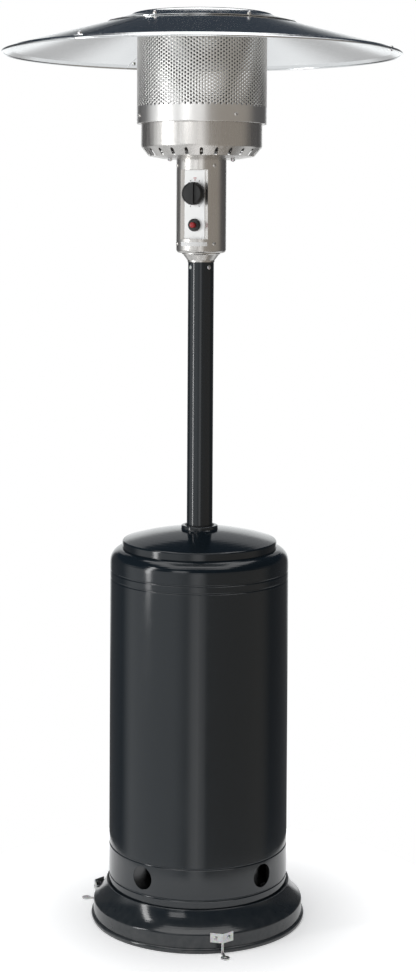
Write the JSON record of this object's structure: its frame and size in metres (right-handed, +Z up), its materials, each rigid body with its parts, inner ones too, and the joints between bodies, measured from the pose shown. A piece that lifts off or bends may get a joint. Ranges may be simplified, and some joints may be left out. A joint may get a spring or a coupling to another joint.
{
  "type": "patio heater",
  "caption": "Tall free-standing gas patio heater: round base, tank housing that slides up a slim post, burner head with control panel, and a wide round segmented reflector.",
  "frame": {"origin": "on the ground, on the axis of the post", "axes": "+Z up; -Y is the front, the side with the control panel turned 20 degrees towards -X; +X to the right seen from the front"},
  "size_m": [0.89, 0.89, 2.0201],
  "materials": {
    "anthracite_paint": "gloss",
    "black_knob": "semi-gloss",
    "black_paint": "satin",
    "black_plastic": "matt",
    "brass": "turned",
    "cast_aluminium": "as cast",
    "ceramic": "glazed ceramic",
    "plain_aluminium": "satin",
    "red_button": "semi-gloss",
    "reflector_aluminium": "polished",
    "stainless": "brushed",
    "zinc": "zinc plated"
  },
  "bodies": {
    "stand_and_head": {"base_cover": "anthracite_paint", "bottle_deck": "anthracite_paint", "support_leg_left": "black_paint", "support_leg_right": "black_paint", "support_leg_rear": "black_paint", "leg_bolts": "zinc", "anchor_clamp_front": "zinc", "anchor_clamp_left": "zinc", "anchor_clamp_rear": "zinc", "anchor_foot_front": "zinc", "anchor_foot_left": "zinc", "anchor_foot_rear": "zinc", "anchor_screws": "zinc", "post_mount": "black_paint", "post": "anthracite_paint", "post_foot_bolts": "zinc", "gas_inlet_union": "brass", "inlet_locknut": "brass", "gas_pipe": "plain_aluminium", "head_neck": "stainless", "post_top_bolts": "zinc", "valve_bracket": "zinc", "control_housing": "stainless", "housing_screws": "stainless", "control_panel": "plain_aluminium", "head_top_plate": "stainless", "gas_valve": "cast_aluminium", "igniter_body": "black_plastic", "igniter_nut": "zinc", "tilt_switch": "black_plastic", "injector": "brass", "venturi_tube": "stainless", "burner_bowl": "stainless", "burner_base": "stainless", "burner_bolts": "zinc", "burner_nuts": "zinc", "burner_head": "stainless", "pilot_bracket": "stainless", "pilot_burner": "brass", "thermocouple": "stainless", "ignition_electrode": "ceramic", "emitter_screen": "stainless", "screen_screws": "stainless", "screen_top_plate": "stainless", "reflector_studs": "zinc", "stud_nuts": "zinc", "reflector_centre_plate": "reflector_aluminium", "reflector_segment_front": "reflector_aluminium", "reflector_segment_rear": "reflector_aluminium", "reflector_segment_left": "reflector_aluminium", "reflector_bolts": "zinc", "reflector_dome_nuts": "zinc"},
    "tank_housing": {"tank_housing": "anthracite_paint", "tank_lid": "anthracite_paint", "lid_rivets": "zinc", "post_bush": "black_plastic"},
    "valve_plunger": {"valve_plunger": "brass"},
    "control_knob": {"valve_spindle": "brass", "control_knob": "black_knob"},
    "igniter_button": {"igniter_button": "red_button"}
  },
  "joints": [
    {"name": "housing_lift", "type": "slide", "parent": "stand_and_head", "child": "tank_housing", "axis": [0, 0, 1], "range_m": [0, 0.55]},
    {"name": "knob_push", "type": "slide", "parent": "stand_and_head", "child": "valve_plunger", "axis": [0.342, 0.9397, 0], "range_m": [0, 0.003], "stiffness_N_per_m": 1500, "springref_m": -0.002},
    {"name": "knob_turn", "type": "hinge", "parent": "valve_plunger", "child": "control_knob", "pos_m": [-0.01594, -0.04379, 1.615], "axis": [-0.342, -0.9397, 0], "range_deg": [0, 180]},
    {"name": "igniter_press", "type": "slide", "parent": "stand_and_head", "child": "igniter_button", "axis": [0.342, 0.9397, 0], "range_m": [0, 0.005], "stiffness_N_per_m": 1000, "springref_m": -0.002}
  ]
}
